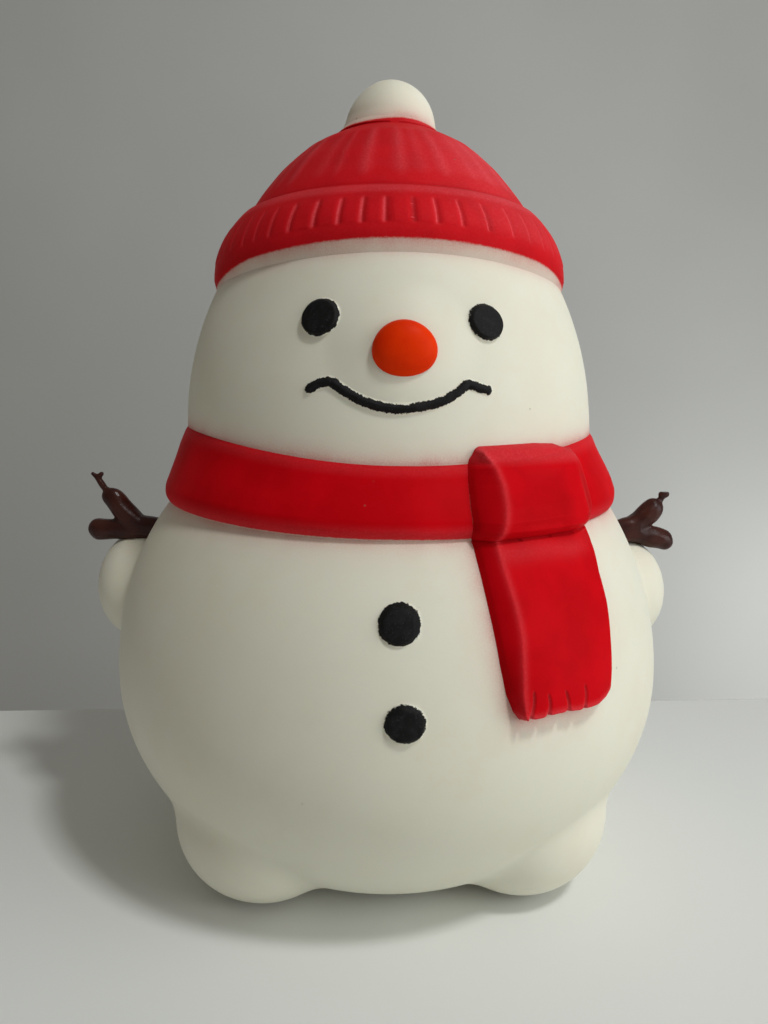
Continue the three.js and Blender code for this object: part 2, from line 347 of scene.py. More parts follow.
@dataclass(frozen=True)
class PaintedVinyl:
    """Off-white vinyl with sprayed red paint and brushed black paint.

    The mesh carries the paint as numbers: red and black are distances into a painted field, spray is the
    distance from the nearest red, the wear number is 1 on worn high places and where highlights and sheen
    are painted, and the shade number is 1 where shade is painted in creases, hollows, shaded faces and at
    the foot of the belly.
    """

    name: str = "painted vinyl"
    vinyl: Colour = (0.80, 0.785, 0.66)
    vinyl_warm: Colour = (0.76, 0.72, 0.56)
    red: Colour = (0.62, 0.002, 0.007)
    red_deep: Colour = (0.40, 0.001, 0.003)
    # Red in painted shade.
    red_shaded: Colour = (0.25, 0.0005, 0.002)
    # Red rubbed pale by wear, and the pale red of painted highlights and sheen.
    red_worn_and_lit: Colour = (0.78, 0.115, 0.135)
    stray: Colour = (0.60, 0.17, 0.16)
    black: Colour = (0.004, 0.004, 0.004)
    black_worn: Colour = (0.010, 0.010, 0.011)
    black_grit: Colour = (0.028, 0.028, 0.030)
    # Dark specks of real dirt, and also the colour of painted shade in creases and hollows.
    dirt_and_shade: Colour = (0.20, 0.15, 0.12)
    gloss: float = 0.16
    red_ragged: float = 0.25
    black_ragged: float = 0.45

    def material(self) -> bpy.types.Material:
        """Builds the node material."""
        material, recipe = new_material(self.name)
        place = recipe.place()
        marks = EFFECTS.use(recipe, Effect.HANDLING, {"Place": place, "Amount": 1.0})
        ridge = recipe.number("ridge")
        painted_shade = recipe.number("painted_shade")
        spray = EFFECTS.use(recipe, Effect.OVERSPRAY,
                            {"Place": place, "Distance": recipe.number("spray"),
                              "Reach": 1.15}).outputs["Mask"]
        red = EFFECTS.use(recipe, Effect.RAGGED_EDGE,
                          {"Place": place, "Distance": recipe.number("red"), "Ragged": self.red_ragged,
                           "Soft": 0.42, "Scale": 800.0}).outputs["Mask"]
        black = EFFECTS.use(recipe, Effect.RAGGED_EDGE,
                            {"Place": place, "Distance": recipe.number("black"), "Ragged": self.black_ragged,
                             "Soft": 0.10, "Scale": 620.0}).outputs["Mask"]
        white = self._white(recipe, marks, painted_shade)
        white = recipe.mix(white, self.stray, recipe.math("MULTIPLY", spray, 0.8))
        painted = recipe.mix(white, self._red(recipe, place, ridge, painted_shade), red)
        painted = recipe.mix(painted, self._black(recipe, place), black)
        painted = recipe.mix(painted, self.dirt_and_shade, recipe.math("MULTIPLY", marks.outputs["Specks"], 0.55))
        grain = EFFECTS.use(recipe, Effect.GRAIN, {"Place": place, "Coarse": 0.55}).outputs["Height"]
        film = recipe.math("ADD", recipe.math("MULTIPLY", black, 0.5), recipe.math("MULTIPLY", red, 0.35))
        height = recipe.math("ADD", recipe.math("MULTIPLY", grain, 0.5), film)
        bump = recipe.node("Bump", {"Height": height, "Strength": 0.35, "Distance": 0.00022})
        close_material(recipe, {
            "Base Color": painted,
            "Roughness": self._roughness(recipe, place, red, black),
            "Normal": bump.outputs["Normal"],
            "Subsurface Weight": 0.18,
            "Subsurface Radius": (1.0, 0.62, 0.40),
            "Subsurface Scale": 0.0035,
            "Specular IOR Level": self.gloss,
        })
        return material

    def _white(self, recipe: Recipe, marks: bpy.types.Node,
               painted_shade: bpy.types.NodeSocket) -> bpy.types.NodeSocket:
        """The bare vinyl with its yellowing, darkened by painted shade where the shade number is high."""
        tone = recipe.mix(self.vinyl, self.vinyl_warm, recipe.math("MULTIPLY", marks.outputs["Smudge"], 0.55))
        # Painted shade: the vinyl darkens where the shade number is high.
        return recipe.mix(tone, self.dirt_and_shade, recipe.math("MULTIPLY", painted_shade, 0.35))

    def _red(self, recipe: Recipe, place: bpy.types.NodeSocket, ridge: bpy.types.NodeSocket,
             painted_shade: bpy.types.NodeSocket) -> bpy.types.NodeSocket:
        """The red paint, darkened by painted shade in hollows, creases and shaded faces, and paled on ridges
        by wear and by painted highlights and sheen.
        """
        cloud = recipe.ramp(recipe.noise(place, 70.0, 4.0), 0.35, 0.68)
        tone = recipe.mix(self.red, self.red_deep, recipe.math("MULTIPLY", cloud, 0.38))
        speckle = recipe.ramp(recipe.noise(place, 1500.0, 2.0), 0.42, 0.66)
        # Worn ridges and painted highlights and sheen pale the red where the wear number is high.
        rub_and_highlight = recipe.math("MULTIPLY", ridge, recipe.math("ADD", recipe.math("MULTIPLY", speckle, 0.25), 0.50))
        tone = recipe.mix(tone, self.red_worn_and_lit, rub_and_highlight)
        # Painted shade: the red darkens where the shade number is high.
        return recipe.mix(tone, self.red_shaded, recipe.math("MULTIPLY", painted_shade, 0.7))

    def _black(self, recipe: Recipe, place: bpy.types.NodeSocket) -> bpy.types.NodeSocket:
        """The black paint with the streaks of its brush."""
        streak = recipe.ramp(recipe.noise(place, 420.0, 4.0), 0.40, 0.75)
        grit = recipe.ramp(recipe.noise(place, 2300.0, 2.0), 0.58, 0.72)
        tone = recipe.mix(self.black, self.black_worn, streak)
        return recipe.mix(tone, self.black_grit, recipe.math("MULTIPLY", grit, 0.7))

    def _roughness(self, recipe: Recipe, place: bpy.types.NodeSocket, red: bpy.types.NodeSocket,
                   black: bpy.types.NodeSocket) -> bpy.types.NodeSocket:
        """Satin vinyl under chalkier paint."""
        cloud = recipe.noise(place, 60.0, 4.0)
        vinyl = recipe.ramp(cloud, 0.3, 0.7, (0.46, 0.60), soft=False)
        under_red = recipe.blend(vinyl, recipe.ramp(cloud, 0.3, 0.7, (0.44, 0.58), soft=False), red)
        return recipe.blend(under_red, 0.62, black)


@dataclass(frozen=True)
class DyedVinyl:
    """Vinyl of one colour right through, with a satin skin."""

    name: str
    base: Colour
    deep: Colour
    rub_and_highlight: Colour
    roughness: tuple[float, float] = (0.34, 0.48)
    subsurface: float = 0.08
    marks: float = 0.5
    bump: float = 0.25
    gloss: float = 0.4

    def material(self) -> bpy.types.Material:
        """Builds the node material."""
        material, recipe = new_material(self.name)
        place = recipe.place()
        handling = EFFECTS.use(recipe, Effect.HANDLING, {"Place": place, "Amount": self.marks})
        cloud = recipe.ramp(recipe.noise(place, 110.0, 4.0), 0.35, 0.7)
        tone = recipe.mix(self.base, self.deep, recipe.math("MULTIPLY", cloud, 0.6))
        tone = recipe.mix(tone, self.rub_and_highlight, recipe.math("MULTIPLY", handling.outputs["Specks"], 0.8))
        tone = recipe.mix(tone, self.rub_and_highlight, recipe.math("MULTIPLY", recipe.number("ridge"), 0.5))
        grain = EFFECTS.use(recipe, Effect.GRAIN, {"Place": place, "Coarse": 0.5}).outputs["Height"]
        bump = recipe.node("Bump", {"Height": grain, "Strength": self.bump, "Distance": 0.0003})
        close_material(recipe, {
            "Base Color": tone,
            "Roughness": recipe.ramp(cloud, 0.0, 1.0, self.roughness, soft=False),
            "Normal": bump.outputs["Normal"],
            "Subsurface Weight": self.subsurface,
            "Subsurface Scale": 0.002,
            "Specular IOR Level": self.gloss,
        })
        return material


@dataclass(frozen=True)
class StageFinish:
    """A plain matt surface for the table and the wall."""

    name: str
    tone: Colour
    second: Colour
    roughness: float = 0.6

    def material(self) -> bpy.types.Material:
        """Builds the node material."""
        material, recipe = new_material(self.name)
        cloud = recipe.ramp(recipe.noise(recipe.place(), 3.0, 2.0), 0.3, 0.7)
        close_material(recipe, {
            "Base Color": recipe.mix(self.tone, self.second, cloud),
            "Roughness": self.roughness,
            "Specular IOR Level": 0.3,
        })
        return material


# ---------------------------------------------------------------- the master form


@dataclass(frozen=True)
class Ellipse:
    """A turned form whose side is two quarter ellipses that meet at its widest ring."""

    radius: float
    middle: float
    below: float
    above: float

    def at(self, z: Array | float) -> Array:
        """The radius at a height."""
        half = np.where(np.asarray(z) < self.middle, self.below, self.above)
        return self.radius * np.sqrt(np.clip(1.0 - ((z - self.middle) / half) ** 2, 0.0, 1.0))


@dataclass(frozen=True)
class Lobe:
    """An egg-shaped bulge on the side of the belly: a hand or a foot."""

    bearing: float
    reach: float
    across: float
    outwards: float
    up: float
    middle: float
    lean: float = 0.0
    fillet: float = 8.0

    def distance(self, bearing: Array, radius: Array, z: Array, side: Side) -> Array:
        """The distance from points to the bulge.

        Args:
            bearing: Bearings of the points.
            radius: Distances of the points from the axis.
            z: Heights of the points.
            side: Which side of the figure the bulge is on.

        Returns:
            The distance, below zero inside the bulge.
        """
        turn = np.radians(turn_apart(bearing, side.value * self.bearing))
        outwards = radius * np.cos(turn) - self.reach
        across = radius * np.sin(turn)
        up = z - self.middle
        tip = math.radians(self.lean)
        up, outwards = (up * math.cos(tip) + outwards * math.sin(tip),
                        outwards * math.cos(tip) - up * math.sin(tip))
        size = (self.across, self.outwards, self.up)
        parts = (across, outwards, up)
        first = np.sqrt(sum((p / s) ** 2 for p, s in zip(parts, size))) + 1e-9
        second = np.sqrt(sum((p / s**2) ** 2 for p, s in zip(parts, size))) + 1e-9
        return first * (first - 1.0) / second


@dataclass(frozen=True)
class TailOutline:
    """The outline of the scarf's hanging end, in rows of (height, bearing) and (bearing, height)."""

    left: tuple = ((78.0, 18.8), (80.6, 18.0), (83.0, 16.9), (88.0, 15.8), (95.6, 15.1), (103.1, 14.7),
                   (110.5, 14.3),
                   (118.0, 14.0), (125.4, 13.6), (129.2, 13.0), (136.8, 12.9), (144.7, 13.5), (150.0, 14.5),
                   (152.5, 15.9), (158.0, 18.0))
    right: tuple = ((78.0, 36.0), (84.0, 36.5), (89.6, 37.3), (98.4, 38.3), (107.9, 39.8), (116.1, 40.6),
                    (124.1, 42.5), (130.4, 45.3), (139.3, 46.6), (149.0, 48.6), (158.0, 50.0))
    hem: tuple = ((10.0, 84.0), (15.8, 82.6), (17.0, 81.0), (17.8, 80.2), (18.4, 80.8), (20.8, 80.9),
                  (23.0, 81.2),
                  (25.6, 81.1), (28.6, 80.5), (32.0, 80.6), (34.3, 81.7), (35.6, 83.0), (36.6, 85.2),
                  (37.2, 88.5),
                  (38.0, 96.0), (50.0, 120.0))
    crest: tuple = ((10.0, 149.0), (13.6, 150.2), (15.0, 152.0), (17.1, 153.4), (24.3, 153.7), (32.7, 154.0),
                    (39.9, 153.6), (43.5, 152.5), (47.9, 152.2), (52.0, 153.2))
    slits: tuple = ((18.6, 82.9, 19.2, 89.7), (21.7, 82.4, 21.8, 88.3), (25.5, 82.0, 25.0, 88.4),
                    (28.8, 81.6, 29.1, 88.7))

    @staticmethod
    def at(rows: tuple, value: Array) -> Array:
        """The other coordinate of an edge, from its rows."""
        return np.interp(value, [r[0] for r in rows], [r[1] for r in rows])

    def bottom(self, bearing: Array) -> Array:
        """The height of the hem, notched between the tassels."""
        height = self.at(self.hem, bearing)
        for low, _, _, _ in self.slits:
            height = height + 0.9 * np.exp(-(((bearing - low) / 0.42) ** 2))
        return height

    def inside(self, bearing: Array, z: Array, radius: Array) -> Array:
        """How far a point lies inside the outline.

        Args:
            bearing: Bearings of the points.
            z: Heights of the points.
            radius: Distances of the points from the axis.

        Returns:
            The distance, below zero outside.
        """
        reach = np.radians(1.0) * radius
        sides = ((bearing - self.at(self.left, z)) * reach, (self.at(self.right, z) - bearing) * reach)
        return np.minimum.reduce([*sides, z - self.bottom(bearing), self.at(self.crest, bearing) - z])


@dataclass(frozen=True)
class Form:
    """The master form that every skin of the moulding follows."""

    belly: Ellipse = Ellipse(100.9, 70.0, 82.0, 103.0)
    head: Ellipse = Ellipse(74.2, 155.0, 92.0, 92.0)
    brim: Ellipse = Ellipse(63.4, 208.0, 40.0, 40.0)
    neck: float = 131.0
    chin: float = 157.0
    fold: float = 230.5
    front_rise: tuple = ((95.0, 0.0), (131.0, -3.2), (157.0, -9.0), (176.0, -2.5), (190.0, 0.0), (208.0, 5.0),
                         (230.5, 0.5), (250.0, 0.0))
    sharpness: float = 2.5
    foot: Lobe = Lobe(44.2, 62.4, 31.4, 30.4, 28.6, 27.0, fillet=3.6)
    left_hand: Lobe = Lobe(93.0, 97.0, 21.0, 15.1, 20.5, 94.8, fillet=4.0)
    right_hand: Lobe = Lobe(93.0, 97.0, 21.0, 15.1, 20.5, 91.3, fillet=4.0)
    scarf: tuple = ((80.6, 130.4), (82.4, 131.6), (83.4, 133.6), (83.3, 137.0), (81.4, 142.0), (78.2, 149.0),
                    (75.9, 154.2), (75.1, 156.2), (74.2, 157.2))

    def lift(self, bearing: Array, z: Array) -> Array:
        """How far the skin is raised or dipped at a bearing and height."""
        total = np.zeros_like(z)
        for (low_z, low), (high_z, high) in zip(self.front_rise[:-1], self.front_rise[1:]):
            inside = (z >= low_z) & (z < high_z)
            total = np.where(inside, low + (high - low) * smoothstep(low_z, high_z, z), total)
        return total * np.clip(np.cos(np.radians(bearing)), 0.0, 1.0) ** self.sharpness

    def unlift(self, bearing: Array, z: Array) -> Array:
        """The height on the plain turned form of a point on the lifted skin."""
        plain = np.array(z, dtype=float)
        for _ in range(12):
            plain = z - self.lift(bearing, plain)
        return plain

    def sway(self, z: Array) -> Array:
        """How far the neck stands to the figure's left hand side at a height."""
        return 1.0 * np.exp(-(((z - 140.0) / 15.0) ** 2))

    def tilt(self, bearing: Array) -> Array:
        """How far the scarf sinks towards the figure's left hand side."""
        return -1.3 * np.clip(np.sin(np.radians(bearing)), 0.0, 1.0)

    def scarf_at(self, z: Array) -> Array:
        """The radius of the scarf's band at a height on the turned form."""
        heights = [p[1] for p in self.scarf]
        radii = [p[0] for p in self.scarf]
        return np.interp(z, heights, radii)

    def belly_at(self, bearing: Array, z: Array) -> Array:
        """The radius of the belly with its hands and feet at a height on the turned form."""
        wall = self.belly.at(z)
        slope = (self.belly.at(z + 0.5) - self.belly.at(z - 0.5)) / 1.0
        square = 1.0 / np.sqrt(1.0 + slope**2)
        radius = np.full_like(z, 126.0)
        for _ in range(70):
            gap = (radius - wall) * square
            for side in Side:
                gap = smooth_union(gap, self.foot.distance(bearing, radius, z, side), self.foot.fillet)
                hand = self.left_hand if side is Side.LEFT else self.right_hand
                gap = smooth_union(gap, hand.distance(bearing, radius, z, side), hand.fillet)
            radius = radius - gap * 0.9
        return radius


# ---------------------------------------------------------------- meshes


@dataclass
class SkinPoints:
    """The points of a skin while it is worked: bearing, radius, height and what the finish reads."""

    bearing: Array
    radius: Array
    z: Array
    outer: Array
    numbers: dict[str, Array] = field(default_factory=dict)

    @classmethod
    def read(cls, mesh: bpy.types.Mesh) -> "SkinPoints":
        """Reads the points of a spun mesh."""
        count = len(mesh.vertices)
        flat = np.empty(count * 3)
        mesh.vertices.foreach_get("co", flat)
        x, y, z = flat.reshape(-1, 3).T / MM
        outer, radius = np.empty(count), np.empty(count)
        mesh.attributes["outer"].data.foreach_get("value", outer)
        mesh.attributes["turned_radius"].data.foreach_get("value", radius)
        points = cls(np.degrees(np.arctan2(x, -y)), radius, z.copy(), outer > 0.5)
        for name, start in (("red", -60.0), ("black", -60.0), ("spray", 60.0), ("ridge", 0.0),
                            ("painted_shade", 0.0)):
            points.numbers[name] = np.full(count, start)
        return points

    def crowd_front(self, gain: float, width: float) -> None:
        """Moves the columns closer together around the front."""
        turns = np.linspace(-180.0, 180.0, 2881)
        density = 1.0 + gain * np.exp(-((turns / width) ** 4))
        summed = np.concatenate([[0.0], np.cumsum((density[1:] + density[:-1]) * 0.5)])
        summed = summed / summed[-1] * 360.0 - 180.0
        self.bearing = np.interp(self.bearing, summed, turns)

    def write(self, mesh: bpy.types.Mesh) -> None:
        """Writes the points and their numbers back."""
        angle = np.radians(self.bearing)
        x = self.radius * np.sin(angle) + Form().sway(self.z)
        flat = np.column_stack([x, -self.radius * np.cos(angle), self.z]) * MM
        mesh.vertices.foreach_set("co", flat.ravel())
        for name, values in self.numbers.items():
            layer = mesh.attributes.new(name, "FLOAT", "POINT")
            layer.data.foreach_set("value", values.astype(np.float32))
        for name in ("outer", "turned_radius"):
            mesh.attributes.remove(mesh.attributes[name])
        mesh.update()


def spun(name: str, outline: Outline, outer_count: int, columns: int, share: int = 8) -> bpy.types.Mesh:
    """Spins a closed outline of (radius, height) points about the axis.

    Args:
        name: Name of the mesh.
        outline: The outline, outer side first. One that starts and ends on the axis is left open there.
        outer_count: How many of its first points lie on the outer side.
        columns: How many columns make the full turn.
        share: How many columns each coarse step of the spin is divided into.

    Returns:
        The mesh, with "outer" and "turned_radius" numbers on its points.
    """
    work = bmesh.new()
    outer = work.verts.layers.float.new("outer")
    turned = work.verts.layers.float.new("turned_radius")
    row = []
    for index, (radius, z) in enumerate(outline):
        vert = work.verts.new((0.0, -radius * MM, z * MM))
        vert[outer] = 1.0 if index < outer_count else 0.0
        vert[turned] = radius
        row.append(vert)
    on_axis = outline[0][0] < 1e-6 and outline[-1][0] < 1e-6
    pairs = list(zip(row[:-1], row[1:])) + ([] if on_axis else [(row[-1], row[0])])
    edges = [work.edges.new(pair) for pair in pairs]
    bmesh.ops.spin(work, geom=row + edges, axis=(0.0, 0.0, 1.0), cent=(0.0, 0.0, 0.0), angle=2.0 * math.pi,
                   steps=columns // share, use_merge=True, use_duplicate=False)
    bmesh.ops.remove_doubles(work, verts=work.verts, dist=1e-7)
    # Known fault: this margin is smaller than the rounding of the coordinates, so most upright edges
    # pass too, and the mesh comes out several times denser than the outline and the columns ask for.
    rings = [edge for edge in work.edges if abs(edge.verts[0].co.x * edge.verts[1].co.y
                                                - edge.verts[0].co.y * edge.verts[1].co.x) > 1e-12]
    bmesh.ops.subdivide_edges(work, edges=rings, cuts=share - 1, use_grid_fill=True)
    bmesh.ops.recalc_face_normals(work, faces=work.faces)
    mesh = bpy.data.meshes.new(name)
    work.to_mesh(mesh)
    work.free()
    return mesh


def finished(mesh: bpy.types.Mesh, material: bpy.types.Material, slot: Slot, node: str) -> bpy.types.Object:
    """Makes a piece from its mesh.

    Args:
        mesh: The piece's mesh, in its place.
        material: Its finish.
        slot: The record's slot for that finish; not used.
        node: The CAD node that it stands for.

    Returns:
        The piece, riding on the figure.
    """
    mesh.polygons.foreach_set("use_smooth", np.ones(len(mesh.polygons), dtype=bool))
    mesh.materials.clear()
    mesh.materials.append(material)
    piece = bpy.data.objects.new(mesh.name, mesh)
    bpy.context.scene.collection.objects.link(piece)
    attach(piece, "root")
    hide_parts(node)
    triangles = sum(len(p.vertices) - 2 for p in mesh.polygons)
    log.info("%s: %d triangles", piece.name, triangles)
    return piece


def spaced(low: float, high: float, pitch: float) -> list[float]:
    """Even heights from low up to, but not including, high."""
    count = max(1, round((high - low) / pitch))
    return [low + (high - low) * step / count for step in range(count)]


@dataclass(frozen=True)
class Disc:
    """A raised painted disc, such as an eye or a button."""

    bearing: float
    z: float
    radius: float
    proud: float
    flank: float
    tall: float = 1.0
    tip: float = 0.0
    paint: float = 0.0

    def distance(self, points: SkinPoints) -> Array:
        """How far points lie outside the disc's rim."""
        across = np.radians(turn_apart(points.bearing, self.bearing)) * points.radius
        up = points.z - self.z
        tip = math.radians(self.tip)
        side = across * math.cos(tip) + up * math.sin(tip)
        rise = (up * math.cos(tip) - across * math.sin(tip)) / self.tall
        return np.hypot(side, rise) - self.radius

    def work(self, points: SkinPoints) -> Array:
        """Marks the disc's paint and gives the height it stands proud."""
        away = self.distance(points)
        edge = 1.0 - smoothstep(-self.flank, 0.25, away)
        crown = np.clip(1.0 - (np.clip(away + self.radius, 0.0, None) / self.radius) ** 2, 0.0, 1.0)
        points.numbers["black"] = np.maximum(points.numbers["black"], -away + self.paint)
        return self.proud * edge + 0.35 * crown


@dataclass
class Skin:
    """A stretch of the hollow moulding, worked on a turned wall."""

    form: Form
    name: str = "skin"
    columns: int = 600
    front_gain: float = 1.5
    front_width: float = 20.0
    wall: float = 2.2

    def outer(self) -> Outline:
        """The outer side of the turned wall, from its lower edge up."""
        raise NotImplementedError

    def inner(self) -> Outline:
        """The inner side, from the upper edge down."""
        raise NotImplementedError

    def shape(self, points: SkinPoints) -> None:
        """Works the points into the real form."""
        raise NotImplementedError

    def build(self, material: bpy.types.Material) -> bpy.types.Object:
        """Spins, shapes and dresses the skin."""
        outer = self.outer()
        mesh = spun(self.name, outer + self.inner(), len(outer), self.columns)
        points = SkinPoints.read(mesh)
        points.crowd_front(self.front_gain, self.front_width)
        self.shape(points)
        points.write(mesh)
        return finished(mesh, material, Slot.WHITE, "body_shell")


@dataclass
class Belly(Skin):
    """The round belly with its feet, hands and two buttons."""

    name: str = "belly_skin"
    columns: int = 536
    front_gain: float = 1.6
    front_width: float = 10.0
    hole: float = 20.3
    top: float = 135.0
    buttons: tuple = (Disc(-1.3, 107.3, 5.8, 1.4, 1.3, tall=0.93, tip=8.0),
                      Disc(-0.5, 82.0, 5.6, 1.4, 1.3, tall=0.93, tip=-5.0))

    def outer(self) -> Outline:
        """From the pouring hole across the underside and up to the scarf."""
        under = [(self.hole, 0.0)] + [(self.hole + 1.0 + step * 4.0, 0.0) for step in range(7)]
        heights = spaced(0.0, 10.0, 0.9) + spaced(10.0, 74.0, 1.25) + spaced(74.0, 115.0, 0.58)
        heights += spaced(115.0, self.top, 1.2) + [self.top]
        return under + [(float(self.form.belly.at(z)), z) for z in heights]

    def inner(self) -> Outline:
        """Back down to the hole's inner rim."""
        heights = [134.0, 126.0, 112.0, 96.0, 80.0, 64.0, 48.0, 34.0, 22.0, 12.0, 6.0, 2.4]
        wall = [(float(self.form.belly.at(z)) - self.wall, z) for z in heights]
        return wall + [(32.0, 2.4), (self.hole, 2.4)]

    def shape(self, points: SkinPoints) -> None:
        """Pulls out the feet and hands, dips the front and raises the buttons."""
        plain = points.z.copy()
        side = points.outer & (points.z > 1e-6)
        foot = points.outer & ~side
        points.radius[side] = self.form.belly_at(points.bearing[side], points.z[side])
        rim = self.form.belly_at(points.bearing[foot], np.zeros(foot.sum()))
        edge = float(self.form.belly.at(0.0))
        share = np.clip((points.radius[foot] - self.hole) / (edge - self.hole), 0.0, 1.0)
        points.radius[foot] = self.hole + share * (rim - self.hole)
        points.z += self.form.lift(points.bearing, plain)
        self._wobble(points, side)
        raised = sum(disc.work(points) for disc in self.buttons)
        points.radius[side] += raised[side]
        below = (self.form.neck + self.form.lift(points.bearing, np.full_like(plain, self.form.neck))
                 - points.z)
        below += self.form.tilt(points.bearing)
        beside = -TailOutline().inside(points.bearing, points.z, points.radius)
        beside += 2.5 * smoothstep(30.0, 37.0, points.bearing)
        points.numbers["spray"] = np.clip(np.minimum(below * 0.45 + 0.2, beside * 0.36 + 0.05), 0.0, 60.0)
        # Painted shade darkens the belly's lowest 6 mm, where it meets the table.
        points.numbers["painted_shade"] = np.where(side, 0.8 * smoothstep(6.0, 0.5, points.z), 0.0)

    def _wobble(self, points: SkinPoints, side: Array) -> None:
        """A slight unevenness of the hollow wall, kept inside the CAD box."""
        soft = smoothstep(4.0, 30.0, points.z)
        points.radius -= np.where(side, 0.22 * (1.0 + ripple(points.bearing, points.z, 11, 24.0)) * soft, 0.0)


@dataclass
class Head(Skin):
    """The head with its eyes, smile and the mound that the nose sits in."""

    name: str = "head_skin"
    columns: int = 600
    front_gain: float = 1.7
    front_width: float = 30.0
    low: float = 148.0
    high: float = 214.0
    eyes: tuple = (Disc(-20.2, 190.3, 5.9, 1.5, 1.0, tall=0.93, tip=14.0, paint=0.0),
                   Disc(21.0, 189.5, 5.75, 1.5, 1.0, tall=0.93, tip=-8.0, paint=0.0))
    smile: tuple = ((-21.6, 169.8), (-19.4, 171.3), (-17.1, 171.9), (-15.9, 171.4), (-12.0, 168.2),
                    (-9.2, 166.5),
                    (-6.3, 165.2), (-3.8, 164.5), (-1.3, 164.2), (1.2, 164.3), (3.6, 164.8), (6.4, 165.6),
                    (9.3, 166.9), (12.2, 169.0), (14.6, 171.3), (15.2, 171.4), (17.6, 170.5), (19.9, 169.7))
    lip: float = 1.4
    nose_z: float = 181.0

    def outer(self) -> Outline:
        """From under the scarf up to under the brim."""
        heights = spaced(self.low, 156.0, 0.8) + spaced(156.0, 203.0, 0.36) + spaced(203.0, self.high, 0.8)
        return [(float(self.form.head.at(z)), z) for z in heights + [self.high]]

    def inner(self) -> Outline:
        """Back down inside."""
        heights = [self.high, 204.0, 194.0, 182.0, 170.0, 158.0, self.low]
        return [(float(self.form.head.at(z)) - self.wall, z) for z in heights]

    def shape(self, points: SkinPoints) -> None:
        """Dips the chin and raises the face's marks."""
        plain = points.z.copy()
        points.z += self.form.lift(points.bearing, plain)
        outer = points.outer
        raised = sum(disc.work(points) for disc in self.eyes)
        raised += self._mouth(points)
        across = np.radians(points.bearing) * points.radius
        around = np.hypot(across / 1.14, points.z - self.nose_z)
        raised += 1.8 * (1.0 - smoothstep(6.5, 21.0, around))
        raised += 0.16 * ripple(points.bearing, points.z, 5, 18.0)
        points.radius += np.where(outer, raised, 0.0)
        under = self.form.brim.middle + self.form.lift(
            points.bearing, np.full_like(plain, self.form.brim.middle))
        top = self.form.chin + self.form.lift(points.bearing, np.full_like(plain, self.form.chin))
        top += self.form.tilt(points.bearing)
        above = (points.z - top - 0.9) * 0.5
        points.numbers["spray"] = np.clip(np.minimum((under - 2.4 - points.z) * 0.6, above), 0.0, 60.0)
        # Painted shade darkens the head just above the scarf's top edge, in the crease.
        points.numbers["painted_shade"] = 0.5 * smoothstep(1.4, 0.0, points.z - top)

    def _mouth(self, points: SkinPoints) -> Array:
        """The smile's raised line and its paint."""
        scale = math.radians(1.0) * 72.0
        path = [(bearing * scale, z) for bearing, z in self.smile]
        away = path_distance(points.bearing * scale, points.z, path)
        thin = 0.35 * smoothstep(0.0, 1.0, ripple(points.bearing * 9.0, points.z * 3.0, 31, 9.0))
        thin *= np.exp(-((points.bearing / 11.0) ** 2)) * (points.z < 165.8)
        points.numbers["black"] = np.maximum(points.numbers["black"], self.lip - thin - away)
        return 1.0 * (1.0 - smoothstep(0.1, self.lip + 0.5, away))


